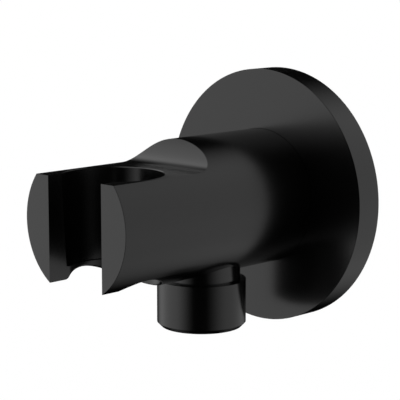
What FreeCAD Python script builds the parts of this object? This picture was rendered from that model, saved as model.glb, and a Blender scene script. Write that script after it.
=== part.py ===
"""Wall outlet elbow with a handset holder, for a shower hose with a half inch nut.

The origin is on the wall, where the inlet's axis crosses it. +Z is up, and the holder's tip
points along -Y, away from the wall. Lengths are in millimetres.
"""
import FreeCAD, Part
import os
import Sketcher
from FreeCAD import Vector

doc = FreeCAD.newDocument("wall_outlet_elbow")
sheet = doc.addObject("Spreadsheet::Sheet", "Sizes")

# Driving sizes. A distance is measured from the wall, a height or depth from the barrel's axis.
SIZES = {
    # Tapered socket for the handset, and the slot that its hose passes through
    "socket_top_radius": 11.4,
    "socket_taper": 0.7,
    "socket_lead": 0.15,
    "socket_inset": 11.3,
    "socket_foot_round": 0.5,
    "lip_step": 0.5,
    "lip_ramp": 0.2,
    "lip_land": 1.7,
    "slot_hold": 2.1,
    # Flat and step on the holder's top
    "flat_cut": 6.0,
    "step_land": 2.85,
    "step_upright": 0.5,
    # Barrel
    "cheek_wall": 4.8,
    "barrel_reach": 66.6,
    "shoulder_gap": 1.0,
    "edge_break": 0.06,
    # Threaded ends, at the crest size of a half inch pipe thread
    "thread_radius": 10.45,
    "thread_lead": 1.0,
    "inlet_length": 12.0,
    "outlet_distance": 27.6,
    "neck_height": 1.1,
    "neck_relief": 1.35,
    "collar_length": 11.25,
    # Waterway, wider inside each threaded end
    "inlet_seat_radius": 7.0,
    "inlet_bore": 6.2,
    "outlet_seat_radius": 6.75,
    "outlet_bore": 6.0,
    "bore_break": 0.5,
    "bore_overrun": 3.0,
    "drill_tip": 3.6,
    # Wall flange
    "flange_face": 3.6,
    "flange_rim": 2.5,
    "flange_clearance": 0.05,
    "hub_wall": 4.7,
    "hub_gap": 0.6,
    # Sealing ring between the flange and the barrel
    "ring_section": 1.0,
    "ring_corner": 0.6,
    "ring_gap": 0.05,
    "ring_side_room": 0.3,
    # Seal between the flange and the wall
    "seal_width": 6.7,
    "seal_thickness": 3.5,
    "seal_clearance": 0.2,
}

# Sizes that follow from the driving ones.
WORKED_OUT = {
    "barrel_radius": "socket_top_radius + cheek_wall",
    "flat_height": "barrel_radius - flat_cut",
    "socket_distance": "barrel_reach - socket_inset",
    "step_round": "flat_cut - step_upright",
    "step_distance": "socket_distance - socket_top_radius - socket_lead - step_land - step_round",
    "socket_foot_radius": "socket_top_radius - socket_taper",
    "lip_radius": "socket_foot_radius - lip_step",
    "lip_depth": "sqrt( barrel_radius ^ 2 - lip_radius ^ 2 ) - lip_land",
    "slot_half_width": "socket_foot_radius - slot_hold",
    "neck_radius": "thread_radius - neck_relief",
    "collar_top": "barrel_radius + neck_height",
    "outlet_end": "collar_top + collar_length",
    "flange_bore": "barrel_radius + flange_clearance",
    "hub_radius": "barrel_radius + hub_wall",
    "hollow_radius": "hub_radius + seal_width + 2 * seal_clearance",
    "flange_radius": "hollow_radius + flange_rim",
    "flange_thickness": "flange_face + seal_thickness",
    "ring_distance": "( flange_thickness + hub_gap ) / 2",
    "ring_centre_radius": "barrel_radius + ring_gap + ring_section",
    "groove_radius": "ring_centre_radius + ring_section + ring_gap",
    "groove_half_width": "ring_section + ring_side_room",
}

for row, (alias, value) in enumerate(SIZES.items(), start=1):
    sheet.set(f"A{row}", alias)
    sheet.set(f"B{row}", str(value))
    sheet.setAlias(f"B{row}", alias)
doc.recompute()


def expression(text):
    """Turns size names into references to the sheet, with what follows from them in brackets."""
    words = []
    for word in text.split():
        if word in WORKED_OUT:
            word = f"({expression(WORKED_OUT[word])})"
        elif word in SIZES:
            word = f"Sizes.{word}"
        words.append(word)
    return " ".join(words)


def value_of(text):
    """The present value of an expression in plain size names."""
    return float(sheet.evalExpression(expression(text)))


def new_body(name):
    body = doc.addObject("PartDesign::Body", name)
    body.Label = name
    return body


def outline(body, name, plane, corners, shift=None):
    """A closed sketch of straight lines on an origin plane, with each corner held by two expressions.

    On YZ_Plane the first number runs along Y and the second along Z. A shift moves the sketch,
    with its upright axis, along its first direction.
    """
    sketch = body.newObject("Sketcher::SketchObject", name)
    support = next(item for item in body.Origin.OriginFeatures if item.Role == plane)
    sketch.AttachmentSupport = [(support, "")]
    sketch.MapMode = "FlatFace"
    if shift:
        sketch.setExpression("AttachmentOffset.Base.x", expression(shift))
    points = [Vector(value_of(across), value_of(along), 0) for across, along in corners]
    count = len(points)
    for i in range(count):
        sketch.addGeometry(Part.LineSegment(points[i], points[(i + 1) % count]))
    for i in range(count):
        sketch.addConstraint(Sketcher.Constraint("Coincident", i, 2, (i + 1) % count, 1))
    for i, texts in enumerate(corners):
        for kind, text, value in zip(("DistanceX", "DistanceY"), texts, (points[i].x, points[i].y)):
            held = sketch.addConstraint(Sketcher.Constraint(kind, -1, 1, i, 1, value))
            sketch.setExpression(f"Constraints[{held}]", expression(text))
    doc.recompute()
    return sketch


def turn(body, name, sketch, axis, cut=False):
    """Revolves a sketch through a full turn about its own level or upright axis."""
    before = 0.0 if body.Tip is None else body.Shape.Volume
    feature = body.newObject("PartDesign::Groove" if cut else "PartDesign::Revolution", name)
    feature.Profile = sketch
    feature.ReferenceAxis = (sketch, [axis])
    feature.Angle = 360
    finish_feature(body, feature, before, cut)
    return feature


def pocket(body, name, sketch, length):
    """Cuts a sketch out to both sides of its plane."""
    before = body.Shape.Volume
    feature = body.newObject("PartDesign::Pocket", name)
    feature.Profile = sketch
    feature.SideType = "Symmetric"
    feature.setExpression("Length", expression(length))
    finish_feature(body, feature, before, True)
    return feature


def round_edges(body, name, radius, on_edge):
    """Rounds the edges of the body's last feature that lie where the test holds."""
    base = body.Tip
    before = base.Shape.Volume
    edges = [f"Edge{i}" for i, edge in enumerate(base.Shape.Edges, start=1) if lies_at(edge, on_edge)]
    if not edges:
        raise RuntimeError(f"{name} found no edge to round")
    feature = body.newObject("PartDesign::Fillet", name)
    feature.Base = (base, edges)
    feature.setExpression("Radius", expression(radius))
    doc.recompute()
    if abs(feature.Shape.Volume - before) < 1e-3:
        raise RuntimeError(f"{name} changed nothing")
    return feature


def finish_feature(body, feature, before, cut):
    """Recomputes, and stops if the feature added or removed nothing."""
    doc.recompute()
    change = feature.Shape.Volume - before
    if (cut and change > -1e-3) or (not cut and change < 1e-3):
        raise RuntimeError(f"{feature.Name} did not change the volume as it should")


def lies_at(edge, test):
    """True if the test holds at five places along an edge."""
    first, last = edge.ParameterRange
    places = [edge.valueAt(first + (last - first) * i / 4) for i in range(5)]
    return all(test(place) for place in places)


def make_outlet_body():
    """Barrel, inlet, outlet neck and handset holder, cast and turned as one piece of brass."""
    body = new_body("outlet_body")
    barrel = outline(body, "BarrelOutline", "YZ_Plane", [
        ("0 - barrel_reach", "0"),
        ("0 - barrel_reach", "barrel_radius - edge_break"),
        ("edge_break - barrel_reach", "barrel_radius"),
        ("0 - shoulder_gap - edge_break", "barrel_radius"),
        ("0 - shoulder_gap", "barrel_radius - edge_break"),
        ("0 - shoulder_gap", "thread_radius"),
        ("inlet_length - thread_lead", "thread_radius"),
        ("inlet_length", "thread_radius - thread_lead"),
        ("inlet_length", "0"),
    ])
    turn(body, "Barrel", barrel, "H_Axis")
    outlet = outline(body, "OutletOutline", "YZ_Plane", [
        ("0", "0"),
        ("neck_radius", "0"),
        ("neck_radius", "0 - collar_top"),
        ("thread_radius - edge_break", "0 - collar_top"),
        ("thread_radius", "0 - collar_top - edge_break"),
        ("thread_radius", "thread_lead - outlet_end"),
        ("thread_radius - thread_lead", "0 - outlet_end"),
        ("0", "0 - outlet_end"),
    ], shift="0 - outlet_distance")
    turn(body, "Outlet", outlet, "V_Axis")
    cut_waterway(body)
    cut_step(body)
    cut_slot(body)
    cut_socket(body)
    return body


def cut_waterway(body):
    """Two drilled passages that meet inside the barrel, each wider inside its threaded end."""
    inlet = outline(body, "InletBoreOutline", "YZ_Plane", [
        ("inlet_length", "0"),
        ("inlet_length", "inlet_seat_radius + bore_break"),
        ("inlet_length - bore_break", "inlet_seat_radius"),
        ("0 - shoulder_gap", "inlet_seat_radius"),
        ("0 - shoulder_gap", "inlet_bore"),
        ("0 - outlet_distance - bore_overrun", "inlet_bore"),
        ("0 - outlet_distance - bore_overrun - drill_tip", "0"),
    ])
    turn(body, "InletBore", inlet, "H_Axis", cut=True)
    outlet = outline(body, "OutletBoreOutline", "YZ_Plane", [
        ("0", "0 - outlet_end"),
        ("outlet_seat_radius + bore_break", "0 - outlet_end"),
        ("outlet_seat_radius", "bore_break - outlet_end"),
        ("outlet_seat_radius", "0 - collar_top"),
        ("outlet_bore", "0 - collar_top"),
        ("outlet_bore", "0"),
        ("0", "drill_tip"),
    ], shift="0 - outlet_distance")
    turn(body, "OutletBore", outlet, "V_Axis", cut=True)


def cut_step(body):
    """The flat on the holder's top, ending in a large round that rises to a short upright face."""
    step = outline(body, "StepOutline", "YZ_Plane", [
        ("0 - barrel_reach - edge_break", "flat_height"),
        ("0 - step_distance", "flat_height"),
        ("0 - step_distance", "barrel_radius + edge_break"),
        ("0 - barrel_reach - edge_break", "barrel_radius + edge_break"),
    ])
    pocket(body, "Step", step, "2 * ( barrel_radius + edge_break )")
    step_y, flat_z = -value_of("step_distance"), value_of("flat_height")

    def on_foot(p):
        return abs(p.y - step_y) < 1e-4 and abs(p.z - flat_z) < 1e-4

    round_edges(body, "StepFoot", "step_round", on_foot)


def cut_slot(body):
    """The upright slot in the tip that the hose passes through."""
    slot = outline(body, "SlotOutline", "XY_Plane", [
        ("0 - slot_half_width", "0 - barrel_reach - edge_break"),
        ("slot_half_width", "0 - barrel_reach - edge_break"),
        ("slot_half_width", "0 - socket_distance"),
        ("0 - slot_half_width", "0 - socket_distance"),
    ])
    pocket(body, "Slot", slot, "2 * ( barrel_radius + edge_break )")


def cut_socket(body):
    """The tapered socket for the handset, with a lead at its top, and a lip and round edge at its foot."""
    socket = outline(body, "SocketOutline", "YZ_Plane", [
        ("0", "flat_height + edge_break"),
        ("socket_top_radius + socket_lead + edge_break", "flat_height + edge_break"),
        ("socket_top_radius", "flat_height - socket_lead"),
        ("socket_foot_radius", "lip_ramp - lip_depth"),
        ("lip_radius", "0 - lip_depth"),
        ("lip_radius", "0 - barrel_radius - edge_break"),
        ("0", "0 - barrel_radius - edge_break"),
    ], shift="0 - socket_distance")
    turn(body, "Socket", socket, "V_Axis", cut=True)
    lip, barrel = value_of("lip_radius"), value_of("barrel_radius")
    centre_y = -value_of("socket_distance")

    def on_foot(p):
        off_lip = abs(Vector(p.x, p.y - centre_y, 0).Length - lip)
        off_barrel = abs(Vector(p.x, 0, p.z).Length - barrel)
        return off_lip < 1e-3 and off_barrel < 1e-3 and p.z < 0

    round_edges(body, "SocketFoot", "socket_foot_round", on_foot)


def make_flange():
    """A loose wall flange that slides on the barrel, hollow behind, with a groove in its hub."""
    body = new_body("wall_flange")
    section = outline(body, "FlangeOutline", "YZ_Plane", [
        ("0 - flange_thickness", "flange_bore"),
        ("0 - flange_thickness", "flange_radius - edge_break"),
        ("edge_break - flange_thickness", "flange_radius"),
        ("0 - edge_break", "flange_radius"),
        ("0", "flange_radius - edge_break"),
        ("0", "hollow_radius"),
        ("0 - seal_thickness", "hollow_radius"),
        ("0 - seal_thickness", "hub_radius"),
        ("0 - hub_gap", "hub_radius"),
        ("0 - hub_gap", "flange_bore"),
        ("groove_half_width - ring_distance", "flange_bore"),
        ("groove_half_width - ring_distance", "groove_radius"),
        ("0 - groove_half_width - ring_distance", "groove_radius"),
        ("0 - groove_half_width - ring_distance", "flange_bore"),
    ])
    turn(body, "Flange", section, "H_Axis")
    return body


def make_flange_ring():
    """The rubber ring in the flange's groove, with its section flattened where it grips the barrel."""
    body = new_body("flange_o_ring")
    half, flat = "ring_section", "ring_section - ring_corner"
    inner, outer = "ring_centre_radius - ring_section", "ring_centre_radius + ring_section"
    section = outline(body, "RingOutline", "YZ_Plane", [
        (f"0 - ring_distance - ( {flat} )", inner),
        (f"{flat} - ring_distance", inner),
        (f"{half} - ring_distance", f"{inner} + ring_corner"),
        (f"{half} - ring_distance", f"{outer} - ring_corner"),
        (f"{flat} - ring_distance", outer),
        (f"0 - ring_distance - ( {flat} )", outer),
        (f"0 - ring_distance - {half}", f"{outer} - ring_corner"),
        (f"0 - ring_distance - {half}", f"{inner} + ring_corner"),
    ])
    turn(body, "Ring", section, "H_Axis")
    return body


def make_wall_seal():
    """The flat seal that fills the flange's hollow back and lies against the wall."""
    body = new_body("wall_seal")
    section = outline(body, "SealOutline", "YZ_Plane", [
        ("0 - seal_thickness", "hub_radius + seal_clearance"),
        ("0 - seal_thickness", "hollow_radius - seal_clearance"),
        ("0", "hollow_radius - seal_clearance"),
        ("0", "hub_radius + seal_clearance"),
    ])
    turn(body, "Seal", section, "H_Axis")
    return body


def write(pieces):
    """Checks every object and piece, then writes one file for each piece."""
    doc.recompute()
    failed = [item.Name for item in doc.Objects if {"Invalid", "Error"} & set(item.State)]
    if failed:
        raise RuntimeError(f"failed objects: {failed}")
    for piece in pieces:
        shape = piece.Shape
        if shape.isNull() or not shape.isValid() or len(shape.Solids) != 1 or shape.Volume <= 0:
            raise RuntimeError(f"{piece.Label} is not one valid solid")
    os.makedirs("parts", exist_ok=True)
    for piece in pieces:
        piece.Shape.exportStep(f"parts/{piece.Label}.step")
        box = piece.Shape.BoundBox
        print(f"{piece.Label}: {piece.Shape.Volume:.1f} mm3, "
              f"{box.XLength:.2f} x {box.YLength:.2f} x {box.ZLength:.2f} mm")


write([make_outlet_body(), make_flange(), make_flange_ring(), make_wall_seal()])
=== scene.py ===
# %% [markdown]
# # A wall outlet elbow in satin black
# The real object is a plumbing fitting. Its brass body screws into the wall behind a round
# flange, a shower hose screws on below, and the handset rests in the slotted holder at its tip.
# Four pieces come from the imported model: the body, the flange, the rubber ring in the flange
# and the seal behind it. Their shapes are right already, so this lesson is about finishes and
# light: how a nearly black surface shows its form only by what it reflects.

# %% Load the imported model
import math
import bpy
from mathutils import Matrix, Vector


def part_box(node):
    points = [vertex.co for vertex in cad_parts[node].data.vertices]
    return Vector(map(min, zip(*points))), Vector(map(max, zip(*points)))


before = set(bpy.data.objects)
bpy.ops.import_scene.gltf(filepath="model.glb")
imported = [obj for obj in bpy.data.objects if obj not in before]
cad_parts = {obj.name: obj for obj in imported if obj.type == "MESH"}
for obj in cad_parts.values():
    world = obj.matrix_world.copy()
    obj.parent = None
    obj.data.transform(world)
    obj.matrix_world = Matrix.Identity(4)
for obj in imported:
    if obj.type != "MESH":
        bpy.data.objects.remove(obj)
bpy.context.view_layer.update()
for name in sorted(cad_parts):
    low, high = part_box(name)
    print(name, "size in mm", [round(1000 * (b - a), 2) for a, b in zip(low, high)])

# %% [markdown]
# ## Shader maths as Python sums
# A material is a graph of small nodes. Wiring them by hand is slow to write and hard to read,
# so the class below wraps one output socket and lets Python's own operators add Math nodes:
# `1 - mask` adds a Subtract node. Every other kind of node comes from one method, `node`, which
# sets the node's settings first and then fills its sockets with values or links.

# %% Sockets that can be added, subtracted and multiplied
class Channel:
    """One output socket. Each operator adds the Math node of the same name behind it."""

    def __init__(self, graph, socket):
        self.graph, self.socket = graph, socket

    def maths(self, operation, *values):
        return self.graph.node("ShaderNodeMath", {"operation": operation}, dict(enumerate(values)))[0]

    def __add__(self, other): return self.maths("ADD", self, other)
    def __radd__(self, other): return self.maths("ADD", other, self)
    def __sub__(self, other): return self.maths("SUBTRACT", self, other)
    def __rsub__(self, other): return self.maths("SUBTRACT", other, self)
    def __mul__(self, other): return self.maths("MULTIPLY", self, other)
    def __rmul__(self, other): return self.maths("MULTIPLY", other, self)
    def __truediv__(self, other): return self.maths("DIVIDE", self, other)


class Graph:
    """A node tree that is built by calls."""

    def __init__(self, tree):
        self.tree = tree
        tree.nodes.clear()

    def node(self, kind, settings=None, sockets=None):
        """Adds a node, sets its settings, fills its sockets and returns its outputs as channels."""
        made = self.tree.nodes.new(kind)
        for setting, value in (settings or {}).items():
            setattr(made, setting, value)
        for key, value in (sockets or {}).items():
            if isinstance(value, Channel):
                self.tree.links.new(value.socket, made.inputs[key])
            else:
                made.inputs[key].default_value = value
        return [Channel(self, output) for output in made.outputs if output.enabled]

    def ramp(self, value, start, stop, low=0.0, high=1.0):
        """Rises smoothly from low to high as the value goes from start to stop."""
        return self.node("ShaderNodeMapRange", {"interpolation_type": "SMOOTHSTEP"}, {
            "Value": value, "From Min": start, "From Max": stop, "To Min": low, "To Max": high})[0]

    def mix(self, mask, first, second):
        """Goes from the first colour to the second as the mask goes from 0 to 1."""
        return self.node("ShaderNodeMix", {"data_type": "RGBA"}, {
            "Factor": mask, 6: first, 7: second})[0]


def grey(level):
    return (level, level, level, 1.0)


print("one class wraps a socket, one builds a graph")

# %% [markdown]
# ## Where a point lies on the fitting
# The pieces sit at the origin, so Object coordinates are the drawing's own coordinates. In
# millimetres they give the distance of a point from the inlet's axis, which runs along Y, and
# from the outlet's axis, which runs along Z. Masks for threads and bores come from those.

# %% Coordinates in millimetres and distances from the two axes
OUTLET_Y = -27.6


def place_in_mm(graph):
    """The three coordinates of the shaded point, in millimetres, and the point itself in metres."""
    point = graph.node("ShaderNodeTexCoord")[3]
    x, y, z = graph.node("ShaderNodeSeparateXYZ", None, {0: point})
    return x * 1000, y * 1000, z * 1000, point


def length_of(first, second):
    """The length of a two-part vector: the square root of the sum of the squares."""
    total = first * first + second * second
    return total.maths("SQRT", total)


print("the outlet's axis is", -OUTLET_Y, "mm from the wall")

# %% [markdown]
# ## Finish 1: the satin black coat
# The coating is a thin black paint with a slight gloss. Its own colour is close to nothing, so
# almost all that the eye sees is the reflection of the studio, blurred by the coat's roughness.
# A real coat is not perfectly even. A fine orange peel, a fraction of a micrometre high, and a
# slow change in gloss keep the large plain faces from looking like plastic. The orange peel is a
# Bump node on a noise texture, which is cheaper than moving the mesh and can be just as fine.

# %% The coat's colour, gloss and orange peel
COAT_BLACK = 0.0004
COAT_GLOSS = 0.21
COAT_INDEX = 1.55


def noise(graph, point, grains_per_metre, detail=2.0):
    """Noise around 0.5 whose grains are a given number to the metre."""
    return graph.node("ShaderNodeTexNoise", None, {
        "Vector": point, "Scale": grains_per_metre, "Detail": detail, "Roughness": 0.5})[0]


def coat(graph, point):
    """The coat's colour, its roughness and the height of its orange peel in metres."""
    cloud = noise(graph, point, 45.0)
    grain = noise(graph, point, 1400.0)
    colour = graph.mix(cloud, grey(0.75 * COAT_BLACK), grey(1.25 * COAT_BLACK))
    gloss = COAT_GLOSS + (cloud - 0.5) * 0.03 + (grain - 0.5) * 0.02
    peel = grain * 0.4e-6 + noise(graph, point, 420.0) * 0.8e-6
    return colour, gloss, peel


print("coat reflects", COAT_BLACK, "of the light by itself, roughness", COAT_GLOSS)

# %% [markdown]
# ## Finish 2: bare brass at the inlet and in the bores
# A sealing thread is masked before coating, because paint would flake into the joint, and spray
# does not reach into a narrow bore. So the spigot that goes into the wall and the waterway stay
# bare brass. The spigot carries a half inch pipe thread: 14 turns to the inch, 1.16 mm deep, with
# flanks at 55 degrees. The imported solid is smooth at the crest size, and a Bump node draws the
# thread on it, because nobody sees its outline once the fitting is on the wall.

# %% Masks for the bare brass, and the thread's height
SPIGOT_RADIUS, SPIGOT_START = 10.45, -0.9
BORE_RADIUS = 7.3
THREAD_PITCH, THREAD_DEPTH = 25.4 / 14, 1.16


def bare_brass(graph, x, y, z):
    """1 on the spigot and inside the waterway, 0 on coated faces."""
    from_inlet = length_of(x, z)
    from_outlet = length_of(x, y - OUTLET_Y)
    spigot = graph.ramp(y, SPIGOT_START, SPIGOT_START + 0.05) * graph.ramp(from_inlet, 11.0, 10.9)
    inlet = graph.ramp(from_inlet, BORE_RADIUS + 0.2, BORE_RADIUS) * graph.ramp(y, -36.0, -35.8)
    outlet = graph.ramp(from_outlet, BORE_RADIUS, BORE_RADIUS - 0.2) * graph.ramp(z, -27.9, -27.6)
    below = graph.ramp(z, 1.0, 0.0)
    total = spigot + inlet + outlet * below
    return total.maths("MINIMUM", total, 1.0)


def thread_height(graph, x, y, z):
    """Height of the thread in metres: a rounded ridge, one pitch further along with each turn.

    The angle rises from X to Z, which is anticlockwise seen from the front, so it is added to
    make the thread right-handed.
    """
    turn = z.maths("ARCTAN2", z, x) / (2 * math.pi)
    along = y / THREAD_PITCH + turn
    ridge = along.maths("PINGPONG", along, 0.5) * 2
    rounded = graph.ramp(ridge, 0.04, 0.96)
    on_spigot = graph.ramp(y, -0.6, 0.6) * graph.ramp(y, 11.4, 10.4)
    outside = graph.ramp(length_of(x, z), 9.2, 9.6)
    return rounded * on_spigot * outside * (THREAD_DEPTH / 1000)


print("thread pitch", round(THREAD_PITCH, 3), "mm")

# %% [markdown]
# ## The body's material
# Coat and brass share one shader. The mask mixes their colours and roughness and also feeds
# Metallic, so a point is either paint, which reflects white light weakly, or metal, which
# reflects light in its own colour. What is the same everywhere, such as the index of refraction,
# is set on the shader's own socket.

# %% Satin black over brass
def new_finish(name):
    material = bpy.data.materials.new(name)
    material.use_nodes = True
    return material, Graph(material.node_tree)


def end_with(graph, colour, roughness, height, metallic=0.0, index=1.5):
    """The shader and the output. Height is in metres, so the Bump node's distance is 1."""
    normal = graph.node("ShaderNodeBump", None, {"Strength": 1.0, "Distance": 1.0, "Height": height})[0]
    shader = graph.node("ShaderNodeBsdfPrincipled", None, {
        "Base Color": colour, "Roughness": roughness, "Metallic": metallic, "IOR": index,
        "Normal": normal})[0]
    graph.node("ShaderNodeOutputMaterial", None, {"Surface": shader})


def satin_black_on_brass():
    material, graph = new_finish("satin_black_on_brass")
    x, y, z, point = place_in_mm(graph)
    colour, gloss, peel = coat(graph, point)
    bare = bare_brass(graph, x, y, z)
    rings = noise(graph, graph.node("ShaderNodeCombineXYZ", None, {0: length_of(x, z), 1: y})[0], 6.0)
    turned = 0.27 + rings * 0.12
    brass = graph.mix(rings, (0.70, 0.47, 0.20, 1.0), (0.78, 0.55, 0.27, 1.0))
    end_with(graph, graph.mix(bare, colour, brass), gloss * (1 - bare) + turned * bare,
             peel * (1 - bare) + thread_height(graph, x, y, z), bare, COAT_INDEX)
    return material


def satin_black():
    material, graph = new_finish("satin_black")
    colour, gloss, peel = coat(graph, place_in_mm(graph)[3])
    end_with(graph, colour, gloss, peel, 0.0, COAT_INDEX)
    return material


body_finish, flange_finish = satin_black_on_brass(), satin_black()
print(body_finish.name, "has", len(body_finish.node_tree.nodes), "nodes")

# %% [markdown]
# ## Finish 3: rubber
# The ring and the seal are moulded black rubber. Rubber is a little lighter than the coat and
# much rougher, with a matt skin that a fine noise gives.

# %% Moulded rubber
def moulded_rubber():
    material, graph = new_finish("moulded_rubber")
    point = place_in_mm(graph)[3]
    skin, bloom = noise(graph, point, 2500.0, 4.0), noise(graph, point, 120.0)
    end_with(graph, graph.mix(bloom, grey(0.018), grey(0.032)), 0.62 + bloom * 0.2, skin * 12e-6)
    return material


rubber_finish = moulded_rubber()
print(rubber_finish.name, "made")

# %% Give each piece its finish
FINISHES = {
    "outlet_body": body_finish,
    "wall_flange": flange_finish,
    "flange_o_ring": rubber_finish,
    "wall_seal": rubber_finish,
}
for name, finish in FINISHES.items():
    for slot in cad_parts[name].material_slots:
        slot.material = finish
    print(name, "gets", finish.name)

# %% [markdown]
# ## The studio
# A glossy black object is lit by what it mirrors. A photographer stands a large softbox at the
# left, with a strip that goes on from its upper end, and a wider and weaker box behind at the
# right. The side of the camera and the upper back stay dark, so the barrel gets a dark top and a
# bright flank. Here the boxes are painted into the world as smooth fields over the compass
# direction and the height above the horizon. Mirror-like rays see that painting. All other rays
# see an even white, which lights the object and the floor plainly and gives the picture its
# white ground.

# %% Softboxes as fields of direction
def softbox(graph, azimuth, centre, half_width, first_fade, last_fade):
    """1 inside a span of the compass and 0 outside, in degrees, with a fade across each end."""
    turned = azimuth.maths("WRAP", azimuth - centre, 180.0, -180.0)
    first = graph.ramp(turned, -half_width - first_fade / 2, first_fade / 2 - half_width)
    last = graph.ramp(turned, half_width + last_fade / 2, half_width - last_fade / 2)
    return first * last


def studio():
    world = bpy.data.worlds.new("studio")
    world.use_nodes = True
    graph = Graph(world.node_tree)
    direction = graph.node("ShaderNodeTexCoord")[0]
    x, y, z = graph.node("ShaderNodeSeparateXYZ", None, {0: direction})
    degrees = 180 / math.pi
    azimuth = x.maths("ARCTAN2", x, 0 - y) * degrees
    elevation = z.maths("ARCSINE", z) * degrees
    left = softbox(graph, azimuth, -46.5, 46, 45, 54)
    strip = softbox(graph, azimuth, -100.25, 7.75, 34, 45) * graph.ramp(elevation, 0, 25)
    left = (left + strip) * graph.ramp(elevation, -50, 30, 0.77, 1.29)
    left = left * graph.ramp(elevation, -75, -45)
    back = softbox(graph, azimuth, 135, 51, 62, 48) * graph.ramp(elevation, -50, -10, 0.51, 0.676)
    back = back * graph.ramp(elevation, 68, 36) * graph.ramp(elevation, -67, -38)
    boxes = left + back
    light_path = graph.node("ShaderNodeLightPath")
    glossy = light_path[3]
    strength = boxes * glossy + (1 - glossy)
    background = graph.node("ShaderNodeBackground", None, {"Color": grey(1.0), "Strength": strength})[0]
    graph.node("ShaderNodeOutputWorld", None, {"Surface": background})
    bpy.context.scene.world = world
    return world


print(studio().name, "is lit by two softboxes and a strip")

# %% [markdown]
# ## The floor
# Such an outlet sits about a metre above the shower's floor, so the floor is plain, pale and
# far below, and the object leaves hardly any shadow on it. Part of its brightness is its own
# glow and the rest is light that it catches, so it is as white as the ground and still keeps a
# shadow. It does not show in the object, whose mirror image is that of the softboxes alone.

# %% A plain pale floor
FLOOR_HEIGHT, FLOOR_SIZE = -1.1, 12.0
CATCHES = 0.4


def floor():
    half = FLOOR_SIZE / 2
    mesh = bpy.data.meshes.new("floor")
    mesh.from_pydata([(-half, -half, FLOOR_HEIGHT), (half, -half, FLOOR_HEIGHT),
                      (half, half, FLOOR_HEIGHT), (-half, half, FLOOR_HEIGHT)], [], [(0, 1, 2, 3)])
    material, graph = new_finish("pale_floor")
    matt = graph.node("ShaderNodeBsdfDiffuse", None, {"Color": grey(CATCHES)})[0]
    glow = graph.node("ShaderNodeEmission", None, {"Color": grey(1.0), "Strength": 1 - CATCHES})[0]
    both = graph.node("ShaderNodeAddShader", None, {0: matt, 1: glow})[0]
    graph.node("ShaderNodeOutputMaterial", None, {"Surface": both})
    mesh.materials.append(material)
    made = bpy.data.objects.new("floor", mesh)
    made.visible_glossy = False
    bpy.context.scene.collection.objects.link(made)
    return made


print(floor().name, "lies", -FLOOR_HEIGHT, "m below the inlet")

# %% [markdown]
# ## The camera
# The picture shows the fitting from the front right, a little from above, through a long lens.
# Three directions describe such a camera: back, from the object towards it, right and up. They
# follow from the two angles. The barrel's middle is not quite in the middle of the picture, so
# the camera steps aside by a millimetre and a bit instead of turning. The photographer kept the
# camera level and slid the picture up, which keeps upright edges parallel. A camera that tips
# down a little gives nearly the same picture here and also works from every other side.

# %% Camera at the photograph's viewing angle
AZIMUTH, ELEVATION = math.radians(44.454), math.radians(9.425)
DISTANCE, FOCAL_PIXELS, PICTURE_PIXELS = 0.358, 1545.0, 400
AIM, ASIDE, RAISED = Vector((0, -0.030, 0)), 0.00134, 0.00143

back = Vector((math.sin(AZIMUTH) * math.cos(ELEVATION), -math.cos(AZIMUTH) * math.cos(ELEVATION),
               math.sin(ELEVATION)))
right = Vector((math.cos(AZIMUTH), math.sin(AZIMUTH), 0))
up = back.cross(right)

scene = bpy.context.scene
lens = bpy.data.cameras.new("camera")
lens.sensor_width = 36.0
lens.lens = FOCAL_PIXELS * lens.sensor_width / PICTURE_PIXELS
lens.clip_start, lens.clip_end = 0.01, 50.0
camera = bpy.data.objects.new("camera", lens)
camera.location = AIM + DISTANCE * back + ASIDE * right + RAISED * up
camera.rotation_euler = back.to_track_quat("Z", "Y").to_euler()
scene.collection.objects.link(camera)
scene.camera = camera
scene.view_settings.view_transform = "Standard"
print("camera at", [round(1000 * v, 1) for v in camera.location], "mm, lens", round(lens.lens, 1), "mm")
